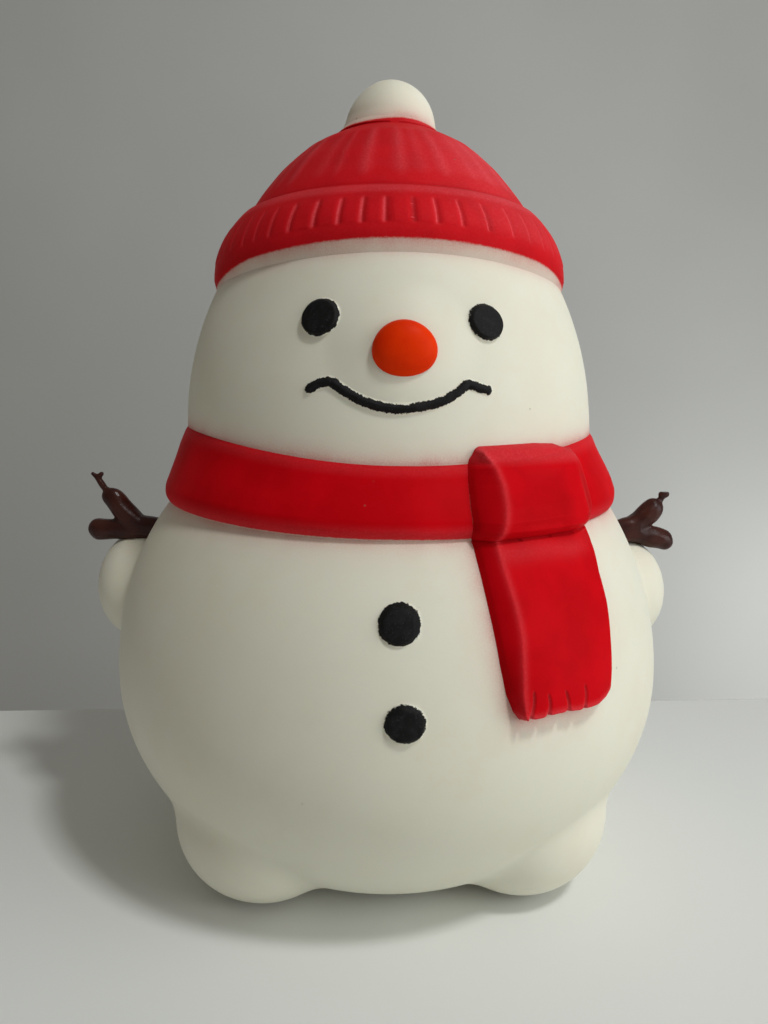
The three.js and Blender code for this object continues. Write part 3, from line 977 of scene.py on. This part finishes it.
@dataclass
class Hat(Skin):
    """The knitted cap: a ribbed rolled brim, a soft crown and a bobble."""

    name: str = "cap_skin"
    columns: int = 816
    front_gain: float = 0.0
    lip: tuple = ((61.2, 202.2), (61.9, 203.3), (62.3, 204.1), (62.6, 204.9), (62.85, 205.7), (63.05, 206.5),
                  (63.25, 207.3))
    crown: tuple = ((50.6, 230.7), (49.4, 232.8), (45.8, 237.6), (39.5, 245.2), (30.6, 253.4), (22.0, 258.0),
                    (17.2, 259.8), (16.4, 260.8), (16.3, 262.4))
    bobble_radius: float = 16.3
    bobble_middle: float = 262.7
    grooves: tuple = (-50.8, -45.0, -39.0, -32.0, -24.3, -17.1, -10.7, -4.4, 3.3, 9.7, 16.9, 25.0, 34.0)
    others: int = 37
    groove_half: float = 0.85
    groove_deep: float = 0.6

    def outer(self) -> Outline:
        """From the lip's inner edge over the brim and crown to the top of the bobble."""
        brim = [(float(self.form.brim.at(z)), z) for z in spaced(208.0, 229.0, 0.6)]
        fold = [(53.6, 229.3), (52.6, 229.9), (51.6, 230.3)]
        crown = self._curve(self.crown, 38)
        arc = []
        for step in range(1, 31):
            angle = math.radians(90.0) * step / 30.0
            arc.append((self.bobble_radius * math.cos(angle),
                        self.bobble_middle + self.bobble_radius * math.sin(angle)))
        arc[-1] = (0.0, self.bobble_middle + self.bobble_radius)
        return list(self.lip) + brim + fold + crown + arc

    def inner(self) -> Outline:
        """Back down inside the crown and brim."""
        return [(0.0, 258.0), (10.0, 257.6), (20.0, 254.5), (28.5, 250.0), (36.5, 243.0), (43.0, 235.0),
                (47.5, 229.0), (54.0, 222.0), (58.6, 214.0), (59.4, 206.0)]

    def shape(self, points: SkinPoints) -> None:
        """Lifts the brim's front, cuts the ribs and softens the crown."""
        plain = points.z.copy()
        points.z += self.form.lift(points.bearing, plain)
        on_bobble = points.outer & (plain > 259.9)
        on_crown = points.outer & (plain > 230.5) & ~on_bobble
        self._ribs(points, plain)
        pleats = self._pleats(points.bearing)
        window = smoothstep(231.0, 238.0, plain) * (1.0 - smoothstep(250.0, 259.5, plain))
        points.radius += np.where(on_crown, (0.22 * pleats - 0.1) * window, 0.0)
        points.radius += np.where(on_crown, 0.3 * ripple(points.bearing, plain, 3, 12.0) * window, 0.0)
        # Pale wear on the crown and its pleats, and a painted sheen on the side towards the window light.
        crown_wear_and_sheen = 0.22 + 0.30 * np.clip(pleats, -0.6, 1.5) + 0.5 * self._painted_sheen(points.bearing)
        points.numbers["ridge"] = np.where(on_crown, np.maximum(points.numbers["ridge"], crown_wear_and_sheen * window),
                                           points.numbers["ridge"])
        self._bobble(points, plain, on_bobble)
        smear = 1.1 * np.exp(-((turn_apart(points.bearing, 14.0) / 30.0) ** 2))
        edge = 207.9 - 2.6 * smoothstep(42.0, 78.0, np.abs(points.bearing))
        points.numbers["red"] = np.where(points.outer, np.minimum(plain - edge, 260.6 + smear - plain), -9.0)
        above = np.clip((plain - 260.4 - smear * 2.0) * 0.5, 0.0, 60.0)
        points.numbers["spray"] = np.where(plain < 215.0, np.clip((edge - plain) * 0.3, 0.0, 60.0), above)

    @staticmethod
    def _painted_sheen(bearing: Array) -> Array:
        """Where the hat carries a painted sheen of the window light, 1 at the middle of the patch."""
        return np.exp(-((turn_apart(bearing, 42.0) / 24.0) ** 2))

    @staticmethod
    def _pleats(bearing: Array) -> Array:
        """The soft upright pleats of the crown, between about -1 and 1.5."""
        rng = np.random.default_rng(7)
        total = np.full_like(bearing, -0.25)
        for step in range(34):
            centre = step * 360.0 / 34.0 + rng.uniform(-3.0, 3.0)
            total += rng.uniform(0.3, 1.2) * np.exp(
                -((turn_apart(bearing, centre) / rng.uniform(1.6, 3.0)) ** 2))
        return total

    def _ribs(self, points: SkinPoints, plain: Array) -> None:
        """Cuts the grooves between the brim's ribs."""
        start, end = self.grooves[-1], self.grooves[0] + 360.0
        rest = [start + (end - start) * step / self.others for step in range(1, self.others)]
        offset = np.full_like(points.bearing, 1e9)
        for centre in list(self.grooves) + rest:
            apart = turn_apart(points.bearing, centre)
            offset = np.where(np.abs(apart) < np.abs(offset), apart, offset)
        offset = np.radians(offset) * points.radius
        away = np.abs(offset)
        window = smoothstep(212.2, 214.0, plain) * (1.0 - smoothstep(222.6, 225.4, plain))
        window *= 0.35 + 0.65 * (1.0 - smoothstep(26.0, 44.0, np.abs(points.bearing))
                                 * (np.abs(points.bearing) < 70))
        cut = (1.0 - smoothstep(0.15, self.groove_half, away)) * window
        crown = smoothstep(0.9, 2.0, away) * window
        points.radius += np.where(points.outer, 0.2 * crown - self.groove_deep * cut, 0.0)
        # Painted shade in the crease at the fold and on the brim's downward-facing rim and underside.
        crease = np.exp(-(((plain - 230.6) / 0.8) ** 2))
        low = 1.0 - smoothstep(207.0, 213.0, plain)
        points.numbers["painted_shade"] = np.clip(0.3 * crease + 0.3 * low, 0.0, 1.0)
        # Painted highlights: a pale line on the lit wall of each groove and a pale band on the welt under the
        # fold. Painted sheen on the brim's side towards the window light, over a little pale wear everywhere;
        # the groove floors are a little paler.
        upper = smoothstep(225.5, 228.0, plain) * (1.0 - smoothstep(229.0, 230.4, plain))
        crest = np.exp(-(((offset + 0.5) / 0.4) ** 2)) * window
        brim_wear_and_sheen = 0.12 + 0.3 * self._painted_sheen(points.bearing) * smoothstep(211.0, 217.0, plain)
        points.numbers["ridge"] = np.clip(0.75 * crest + 0.1 * cut + 0.35 * upper + brim_wear_and_sheen, 0.0, 1.0)

    def _bobble(self, points: SkinPoints, plain: Array, here: Array) -> None:
        """Makes the bobble a little uneven, as if wound by hand."""
        angle = np.radians(points.bearing)
        lefthand = np.clip(-np.sin(angle), 0.0, 1.0)
        bulge = 1.0 + 0.015 * np.sin(2.0 * angle + 0.6) - 0.05 * lefthand * smoothstep(264.0, 277.0, plain)
        foot = 1.3 * (0.35 + lefthand) * (1.0 - smoothstep(259.5, 266.0, plain))
        points.radius = np.where(here, points.radius * bulge + foot, points.radius)

    @staticmethod
    def _curve(corners: Sequence[tuple[float, float]], count: int) -> Outline:
        """A smooth curve through corners."""
        radii = np.array([c[0] for c in corners])
        heights = np.array([c[1] for c in corners])
        walked = np.concatenate([[0.0], np.cumsum(np.hypot(np.diff(radii), np.diff(heights)))])
        at = np.linspace(0.0, walked[-1], count)
        line = [np.interp(at, walked, values) for values in (radii, heights)]
        for _ in range(6):
            for values in line:
                values[1:-1] = 0.5 * values[1:-1] + 0.25 * (values[:-2] + values[2:])
        return list(zip(line[0].tolist(), line[1].tolist()))


@dataclass
class ScarfBand(Skin):
    """The band of the scarf round the neck."""

    name: str = "scarf_band"
    columns: int = 640
    front_gain: float = 0.5
    front_width: float = 60.0

    def outer(self) -> Outline:
        """From the curled-in lower edge up to the thin upper edge."""
        walked = [0.0]
        for (ra, za), (rb, zb) in zip(self.form.scarf[:-1], self.form.scarf[1:]):
            walked.append(walked[-1] + math.hypot(rb - ra, zb - za))
        at = np.linspace(0.0, walked[-1], 58)
        radii = np.interp(at, walked, [p[0] for p in self.form.scarf])
        heights = np.interp(at, walked, [p[1] for p in self.form.scarf])
        for _ in range(5):
            for values in (radii, heights):
                values[1:-1] = 0.5 * values[1:-1] + 0.25 * (values[:-2] + values[2:])
        return list(zip(radii.tolist(), heights.tolist()))

    def inner(self) -> Outline:
        """Back down against the neck."""
        return [(72.6, 156.8), (72.4, 152.0), (74.5, 146.0), (77.0, 138.0), (78.6, 131.0)]

    def shape(self, points: SkinPoints) -> None:
        """Dips the front and gives the cloth its soft unevenness."""
        plain = points.z.copy()
        points.z += self.form.lift(points.bearing, plain) + self.form.tilt(points.bearing)
        soft = smoothstep(132.0, 138.0, plain) * (1.0 - smoothstep(150.0, 156.5, plain))
        wave = 0.45 * ripple(points.bearing, plain * 2.2, 23, 16.0)
        points.radius += np.where(points.outer, wave * soft, 0.0)
        points.numbers["red"] = np.where(points.outer,
                                         np.minimum((plain - 131.2) * 1.2, (157.3 - plain) * 3.0), -6.0)
        points.numbers["spray"] = np.clip(131.5 - plain, 0.0, 60.0)
        low = 1.0 - smoothstep(131.5, 137.0, plain)
        high = smoothstep(152.5, 156.0, plain)
        points.numbers["ridge"] = np.clip(0.35 * low + 0.2 * high, 0.0, 1.0)


@dataclass
class ScarfTail:
    """The hanging end of the scarf with the knot at its top."""

    form: Form
    name: str = "scarf_tail"
    across: int = 160
    down: int = 280
    outline: TailOutline = TailOutline()
    bevel: tuple = ((80.0, 18.6), (83.1, 17.6), (89.2, 17.4), (96.7, 17.7), (103.8, 18.1), (111.2, 17.9),
                    (118.6, 17.4), (125.2, 16.9), (128.2, 17.0), (132.5, 17.5), (137.8, 18.4), (143.3, 18.8),
                    (149.0, 18.1), (152.4, 16.3), (158.0, 15.8))
    facet: tuple = ((80.0, 30.6), (88.7, 31.1), (96.6, 31.5), (112.0, 32.6), (128.2, 35.2), (147.0, 39.7),
                    (158.0, 41.0))
    panel_left: tuple = ((129.5, 18.9), (147.3, 22.3))
    panel_right: tuple = ((128.6, 32.9), (146.9, 35.6))
    tail_proud: float = 4.4
    knot_proud: float = 5.9

    def build(self, material: bpy.types.Material) -> bpy.types.Object:
        """Lays a fine sheet over the figure, works it and gives it a back."""
        work = bmesh.new()
        bmesh.ops.create_grid(work, x_segments=self.across, y_segments=self.down, size=0.5)
        for name in ("outer", "turned_radius"):
            work.verts.layers.float.new(name)
        mesh = bpy.data.meshes.new(self.name)
        work.to_mesh(mesh)
        work.free()
        flat = np.empty(len(mesh.vertices) * 3)
        mesh.vertices.foreach_get("co", flat)
        u, v, _ = flat.reshape(-1, 3).T
        points = SkinPoints.read(mesh)
        self._lay(points, u * 1.12 + 0.5, v + 0.5)
        points.write(mesh)
        self._back(mesh)
        return finished(mesh, material, Slot.WHITE, "body_shell")

    def _lay(self, points: SkinPoints, u: Array, v: Array) -> None:
        """Puts the sheet's points in place.

        Args:
            points: The sheet's points, overwritten.
            u: Place across the tail, 0 at its left edge and 1 at its right.
            v: Place along the tail, 0 at its hem and 1 at its top.
        """
        z = 78.6 + (156.4 - 78.6) * v
        left, right = self.outline.at(self.outline.left, z), self.outline.at(self.outline.right, z)
        bearing = left + (right - left) * u
        plain = self.form.unlift(bearing, z - self.form.tilt(bearing) * smoothstep(120.0, 134.0, z))
        base = np.where(plain > 130.4, self.form.scarf_at(plain), self.form.belly.at(plain))
        base = np.maximum(base, self.form.head.at(plain))
        inside = self.outline.inside(bearing, z, base)
        reach = np.radians(1.0) * base
        height = self._relief(points, bearing, z, reach, left, right)
        edge = smoothstep(-0.5, 1.3, inside)
        points.bearing, points.z = bearing, z
        points.radius = base + height * edge - 2.2 * (1.0 - smoothstep(-1.4, 0.2, inside))
        upper = smoothstep(130.0, 132.0, z) * smoothstep(40.0, 43.0, bearing)
        points.numbers["red"] = inside * 1.3 + 0.4 + 8.0 * upper
        points.numbers["spray"] = np.clip(-inside * 0.6, 0.0, 60.0)

    def _relief(self, points: SkinPoints, bearing: Array, z: Array, reach: Array,
                left: Array, right: Array) -> Array:
        """The height of the cloth over the skin, with its facets, panel and fringe."""
        at = self.outline.at
        bevel, facet = at(self.bevel, z), at(self.facet, z)
        knot = smoothstep(121.0, 133.0, z)
        proud = self.tail_proud + (self.knot_proud - self.tail_proud) * knot
        up = np.clip((bearing - left) / np.maximum(bevel - left, 0.4), 0.0, 1.0)
        rise = up * (1.25 - 0.25 * up)
        height = proud * (0.12 + 0.88 * rise)
        over = (bearing - bevel) * reach
        height += 0.35 * np.exp(-((over / 1.6) ** 2)) * (0.4 + 0.6 * knot)
        fall = np.clip((bearing - facet) / np.maximum(right - facet, 0.5), 0.0, 1.0)
        height -= proud * (0.28 + 0.62 * knot) * (1.0 - np.cos(fall * math.pi * 0.5)) ** 0.8
        low, high = at(self.panel_left, z), at(self.panel_right, z)
        inset = np.minimum.reduce([(bearing - low) * reach * 0.7, (high - bearing) * reach,
                                   z - 128.6, 147.4 - z])
        well = smoothstep(-1.4, 4.2, inset) * smoothstep(127.5, 132.5, z)
        height -= 0.85 * well
        hollow = np.exp(-(((bearing - 41.8) / 2.0) ** 2) - (((z - 138.5) / 7.5) ** 2))
        height -= 0.8 * hollow
        middle = 127.9 + 0.5 * np.exp(-(((bearing - 25.0) / 5.0) ** 2))
        crease = np.exp(-(((z - middle) / 1.5) ** 2)) * smoothstep(-1.0, 2.5, over)
        crease *= 1.0 - smoothstep(facet - 0.5, facet + 2.5, bearing)
        height -= 0.55 * crease
        ledge = np.exp(-(((z - middle + 3.6) / 2.6) ** 2)) * smoothstep(-1.0, 2.5, over) * (1.0 - fall)
        height += 0.35 * ledge
        cut = self._fringe(bearing, z, reach)
        height -= 0.9 * cut
        top = smoothstep(146.5, 154.0, z)
        height -= (0.5 + 2.2 * knot) * top**1.3
        # Painted shade in the crease under the knot, the hollow and the panel's well, and on the left bevel,
        # which faces away from the light.
        shade = np.minimum(up, 1.0)
        points.numbers["painted_shade"] = np.clip(0.4 * crease + 0.5 * hollow + 0.25 * well + 0.5 * (1.0 - shade),
                                           0.0, 1.0)
        hem = 1.0 - smoothstep(0.3, 3.4, z - self.outline.bottom(bearing))
        # Painted highlights: a pale line along the bevel's edge, on the ledge under the knot and on the top
        # flank that faces up; the hem and the fringe's slits are paler.
        rub_and_highlight = np.exp(-(((over - 0.4) / 1.1) ** 2)) * 0.3 + 0.25 * ledge + 0.4 * smoothstep(147.5, 150.5, z)
        points.numbers["ridge"] = np.clip(rub_and_highlight + 0.75 * hem + 0.75 * cut, 0.0, 1.0)
        return height

    def _fringe(self, bearing: Array, z: Array, reach: Array) -> Array:
        """The slits between the tassels."""
        cut = np.zeros_like(z)
        for low, low_z, high, high_z in self.outline.slits:
            share = np.clip((z - low_z) / (high_z - low_z), -0.6, 1.3)
            bend = low + (high - low) * share + 0.28 * np.sin(np.clip(share, 0.0, 1.0) * math.pi)
            away = np.abs(bearing - bend) * reach
            along = 1.0 - smoothstep(0.72, 1.06, share)
            width = 0.75 - 0.25 * np.clip(share, 0.0, 1.0)
            cut = np.maximum(cut, (1.0 - smoothstep(0.1, width, away)) * along)
        return cut

    def _back(self, mesh: bpy.types.Mesh) -> None:
        """Closes the sheet with a thin back behind it."""
        work = bmesh.new()
        work.from_mesh(mesh)
        bmesh.ops.recalc_face_normals(work, faces=work.faces)
        middle = work.faces[len(work.faces) // 2]
        if middle.normal.y > 0.0:
            bmesh.ops.reverse_faces(work, faces=work.faces)
        bmesh.ops.solidify(work, geom=work.faces[:], thickness=0.8 * MM)
        bmesh.ops.recalc_face_normals(work, faces=work.faces)
        work.to_mesh(mesh)
        work.free()


@dataclass
class Nose:
    """The oval dome nose, a piece of its own pressed into the head."""

    form: Form
    name: str = "nose_dome"
    z: float = 181.0
    half_width: float = 9.3
    half_height: float = 8.1
    depth: float = 5.0
    seat: float = 72.5

    def build(self, material: bpy.types.Material) -> bpy.types.Object:
        """Shapes a ball into the slightly egg-shaped dome."""
        work = bmesh.new()
        bmesh.ops.create_uvsphere(work, u_segments=96, v_segments=64, radius=1.0)
        bmesh.ops.rotate(work, verts=work.verts, matrix=Matrix.Rotation(math.radians(90.0), 3, "X"))
        for vert in work.verts:
            x, y, z = vert.co
            egg = 1.0 - 0.06 * z + 0.03 * x
            front = y if y > 0.0 else -abs(y) ** 0.92
            place = Vector((x * self.half_width * egg, front * self.depth - self.seat,
                            z * self.half_height + self.z))
            vert.co = place * MM
        bmesh.ops.recalc_face_normals(work, faces=work.faces)
        mesh = bpy.data.meshes.new(self.name)
        work.to_mesh(mesh)
        work.free()
        return finished(mesh, material, Slot.ORANGE, "nose")


@dataclass(frozen=True)
class Branch:
    """One tapering stretch of a twig, in the arm's own plane."""

    start: tuple[float, float]
    end: tuple[float, float]
    thick: tuple[float, float]


@dataclass
class TwigArm:
    """A forked twig arm, plugged into the side of the belly."""

    name: str
    side: Side
    node: str
    branches: tuple

    def build(self, material: bpy.types.Material) -> bpy.types.Object:
        """Joins round-ended branches, melts them together and softens the result."""
        work = bmesh.new()
        for branch in self.branches:
            self._limb(work, branch)
        mesh = bpy.data.meshes.new(self.name + "_rough")
        work.to_mesh(mesh)
        work.free()
        rough = bpy.data.objects.new(self.name + "_rough", mesh)
        bpy.context.scene.collection.objects.link(rough)
        melt = rough.modifiers.new("melt", "REMESH")
        melt.mode = "VOXEL"
        melt.voxel_size = 0.38 * MM
        soften = rough.modifiers.new("soften", "SMOOTH")
        soften.factor = 0.5
        soften.iterations = 7
        shaped = bpy.data.meshes.new_from_object(rough.evaluated_get(bpy.context.evaluated_depsgraph_get()))
        bpy.data.objects.remove(rough)
        shaped.name = self.name
        self._carve(shaped)
        return finished(shaped, material, Slot.BROWN, self.node)

    def _limb(self, work: bmesh.types.BMesh, branch: Branch) -> None:
        """Adds a tapering bar with a ball at each end."""
        ends = [Vector((self.side.value * u, 0.0, z)) for u, z in (branch.start, branch.end)]
        along = ends[1] - ends[0]
        turn = along.to_track_quat("Z", "X").to_matrix().to_4x4()
        middle = Matrix.Translation((ends[0] + ends[1]) * 0.5 * MM) @ turn
        bmesh.ops.create_cone(work, cap_ends=True, segments=28, radius1=branch.thick[0] * MM,
                              radius2=branch.thick[1] * MM, depth=along.length * MM, matrix=middle)
        for place, radius in zip(ends, branch.thick):
            bmesh.ops.create_uvsphere(work, u_segments=28, v_segments=16, radius=radius * MM,
                                      matrix=Matrix.Translation(place * MM))

    def _carve(self, mesh: bpy.types.Mesh) -> None:
        """Adds the lumps of bark and keeps the twig inside its CAD node's box."""
        count = len(mesh.vertices)
        flat = np.empty(count * 3)
        mesh.vertices.foreach_get("co", flat)
        place = flat.reshape(-1, 3)
        normal = np.empty(count * 3)
        mesh.vertices.foreach_get("normal", normal)
        normal = normal.reshape(-1, 3)
        x, y, z = (place / MM).T
        bark = 0.22 * np.sin(x * 0.55 + 1.7 * np.sin(z * 0.31)) + 0.16 * np.sin(y * 0.9 + z * 0.5) - 0.12
        place = place + normal * (bark * MM)[:, None]
        low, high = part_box(self.node)
        place = np.clip(place, np.array(low), np.array(high))
        mesh.vertices.foreach_set("co", place.ravel())
        layer = mesh.attributes.new("ridge", "FLOAT", "POINT")
        layer.data.foreach_set("value", np.clip(0.5 + 2.0 * bark, 0.0, 0.6).astype(np.float32))
        mesh.update()


@dataclass
class BasePlug:
    """The plug in the pouring hole of the underside."""

    name: str = "hole_plug"
    radius: float = 19.7
    low: float = 0.6
    lip: float = 22.0

    def build(self, material: bpy.types.Material) -> bpy.types.Object:
        """Spins a dished disc with a finger channel and a snap lip."""
        rows = [(0.0, self.low + 1.3), (8.0, self.low + 1.1), (13.0, self.low + 0.9), (14.0, self.low + 0.2),
                (15.0, self.low), (17.6, self.low), (18.9, self.low + 0.1), (19.5, self.low + 0.5),
                (self.radius, self.low + 1.1), (self.radius, 2.9), (self.lip - 0.3, 2.9), (self.lip, 3.3),
                (self.lip - 0.3, 4.2), (19.0, 5.4), (0.0, 5.4)]
        mesh = spun(self.name, rows, len(rows), 128)
        points = SkinPoints.read(mesh)
        points.write(mesh)
        return finished(mesh, material, Slot.PLUG, "base_plug")


# ---------------------------------------------------------------- stage


@dataclass
class Stage:
    """The table, the wall behind it, the lights and the camera."""

    table_back: float = 106.0
    wall_at: float = 900.0
    lens: float = 26.0
    distance: float = 285.0
    height: float = 166.7
    aside: float = 3.2
    shift: float = 1.22
    pitch: float = 8.6
    roll: float = -0.4

    def build(self) -> None:
        """Puts the stage up."""
        self._slab("table", (0.0, self.table_back - 800.0, -10.0), (2400.0, 1600.0, 20.0),
                   StageFinish("table white", (0.84, 0.86, 0.845), (0.82, 0.84, 0.82)))
        self._slab("wall", (0.0, self.wall_at, 300.0), (5200.0, 20.0, 3600.0),
                   StageFinish("wall grey", (0.53, 0.54, 0.525), (0.50, 0.51, 0.495)))
        self._light("window", (980.0, -521.0, 428.0), (760.0, 760.0), 5.7, (0.965, 0.985, 1.0))
        self._light("skylight", (531.0, -589.0, 1284.0), (170.0, 170.0), 7.3, (0.98, 0.985, 0.98))
        self._light("wall wash", (800.0, 450.0, -250.0), (500.0, 500.0), 2.2, (0.985, 1.0, 0.99),
                    aim=(600.0, 900.0, -200.0))
        self._sky((1.0, 0.94, 0.85), 0.185)
        bpy.context.scene.view_settings.view_transform = "Standard"
        self._camera()

    def _slab(self, name: str, middle: tuple, size: tuple, finish: StageFinish) -> None:
        """Adds a plain slab."""
        work = bmesh.new()
        bmesh.ops.create_cube(work, size=1.0)
        bmesh.ops.scale(work, verts=work.verts, vec=Vector(size) * MM)
        bmesh.ops.translate(work, verts=work.verts, vec=Vector(middle) * MM)
        bmesh.ops.bevel(work, geom=work.edges[:], offset=3.0 * MM, affect="EDGES", segments=4, profile=0.5,
                        material=-1)
        mesh = bpy.data.meshes.new(name)
        work.to_mesh(mesh)
        work.free()
        mesh.materials.append(finish.material())
        slab = bpy.data.objects.new(name, mesh)
        bpy.context.scene.collection.objects.link(slab)

    def _light(self, name: str, place: tuple, size: tuple, watts: float, colour: Colour,
               aim: tuple = (0.0, 0.0, 130.0)) -> None:
        """Adds a soft area light that faces the figure."""
        data = bpy.data.lights.new(name, "AREA")
        data.shape = "RECTANGLE"
        data.size, data.size_y = size[0] * MM, size[1] * MM
        data.energy = watts
        data.color = colour
        lamp = bpy.data.objects.new(name, data)
        lamp.location = Vector(place) * MM
        lamp.rotation_euler = (Vector(aim) - Vector(place)).to_track_quat("-Z", "Y").to_euler()
        bpy.context.scene.collection.objects.link(lamp)

    def _sky(self, colour: Colour, strength: float) -> None:
        """Sets an even soft surround."""
        world = bpy.data.worlds.new("room")
        world.use_nodes = True
        recipe = Recipe(world.node_tree)
        glow = recipe.node("Background", {"Color": (*colour, 1.0), "Strength": strength})
        recipe.node("OutputWorld", {"Surface": glow.outputs["Background"]})
        bpy.context.scene.world = world

    def _camera(self) -> None:
        """Places the camera a little to the left of the front, looking slightly down."""
        turn, tip, roll = math.radians(self.aside), math.radians(self.pitch), math.radians(self.roll)
        right = Vector((math.cos(turn), -math.sin(turn), 0.0))
        ahead = Vector((math.sin(turn) * math.cos(tip), math.cos(turn) * math.cos(tip), -math.sin(tip)))
        up = right.cross(ahead)
        place = Vector((-self.distance * math.sin(turn), -self.distance * math.cos(turn), self.height))
        place -= right * self.shift
        level, stand = (right * math.cos(roll) - up * math.sin(roll),
                        up * math.cos(roll) + right * math.sin(roll))
        data = bpy.data.cameras.new("camera")
        data.lens = self.lens
        data.sensor_width = 36.0
        data.clip_start = 0.01
        data.clip_end = 20.0
        camera = bpy.data.objects.new("camera", data)
        camera.matrix_world = Matrix((
            (level.x, stand.x, -ahead.x, place.x * MM),
            (level.y, stand.y, -ahead.y, place.y * MM),
            (level.z, stand.z, -ahead.z, place.z * MM),
            (0.0, 0.0, 0.0, 1.0),
        ))
        bpy.context.scene.collection.objects.link(camera)
        bpy.context.scene.camera = camera


@dataclass
class Snowman:
    """The whole figure."""

    form: Form = field(default_factory=Form)

    def build(self) -> None:
        """Builds every piece in order."""
        bare = PaintedVinyl("bare vinyl").material()
        sprayed = PaintedVinyl("sprayed vinyl", gloss=0.02).material()
        Belly(self.form).build(bare)
        Head(self.form).build(bare)
        ScarfBand(self.form).build(sprayed)
        ScarfTail(self.form).build(sprayed)
        Hat(self.form).build(sprayed)
        orange = DyedVinyl("orange vinyl", (0.80, 0.036, 0.0005), (0.68, 0.018, 0.0005), (0.82, 0.13, 0.04),
                           roughness=(0.44, 0.56), subsurface=0.05, marks=0.3, gloss=0.05)
        Nose(self.form).build(orange.material())
        brown = DyedVinyl("brown vinyl", (0.040, 0.010, 0.007), (0.022, 0.005, 0.004), (0.10, 0.030, 0.020),
                          roughness=(0.26, 0.42), subsurface=0.0, marks=0.6, bump=0.6, gloss=0.22)
        bark = brown.material()
        TwigArm("left_twig", Side.LEFT, "left_twig_arm", (
            Branch((84.0, 115.5), (96.6, 118.6), (5.2, 4.8)),
            Branch((96.6, 119.0), (104.8, 129.6), (4.9, 4.0)),
            Branch((92.0, 117.4), (110.3, 117.2), (4.6, 4.25)),
            Branch((106.2, 131.4), (110.2, 137.0), (1.45, 1.2)),
            Branch((110.2, 137.0), (111.8, 138.3), (1.1, 0.9)),
            Branch((109.6, 137.2), (108.4, 138.4), (1.0, 0.8)),
        )).build(bark)
        TwigArm("right_twig", Side.RIGHT, "right_twig_arm", (
            Branch((84.0, 113.5), (97.6, 117.0), (5.2, 4.9)),
            Branch((97.6, 117.2), (106.1, 124.9), (4.6, 4.1)),
            Branch((97.6, 115.6), (110.6, 112.2), (4.6, 4.2)),
            Branch((107.6, 126.6), (109.5, 130.0), (1.5, 1.3)),
            Branch((109.3, 130.4), (110.4, 130.8), (1.75, 1.75)),
        )).build(bark)
        plug = DyedVinyl("plug vinyl", (0.70, 0.67, 0.59), (0.62, 0.58, 0.48), (0.45, 0.40, 0.34),
                         roughness=(0.48, 0.6), subsurface=0.12, marks=0.8)
        BasePlug().build(plug.material())


def main() -> None:
    """Builds the stage and the figure."""
    logging.basicConfig(level=logging.INFO, format="%(name)s: %(message)s")
    Stage().build()
    Snowman().build()


if __name__ == "__main__":
    main()
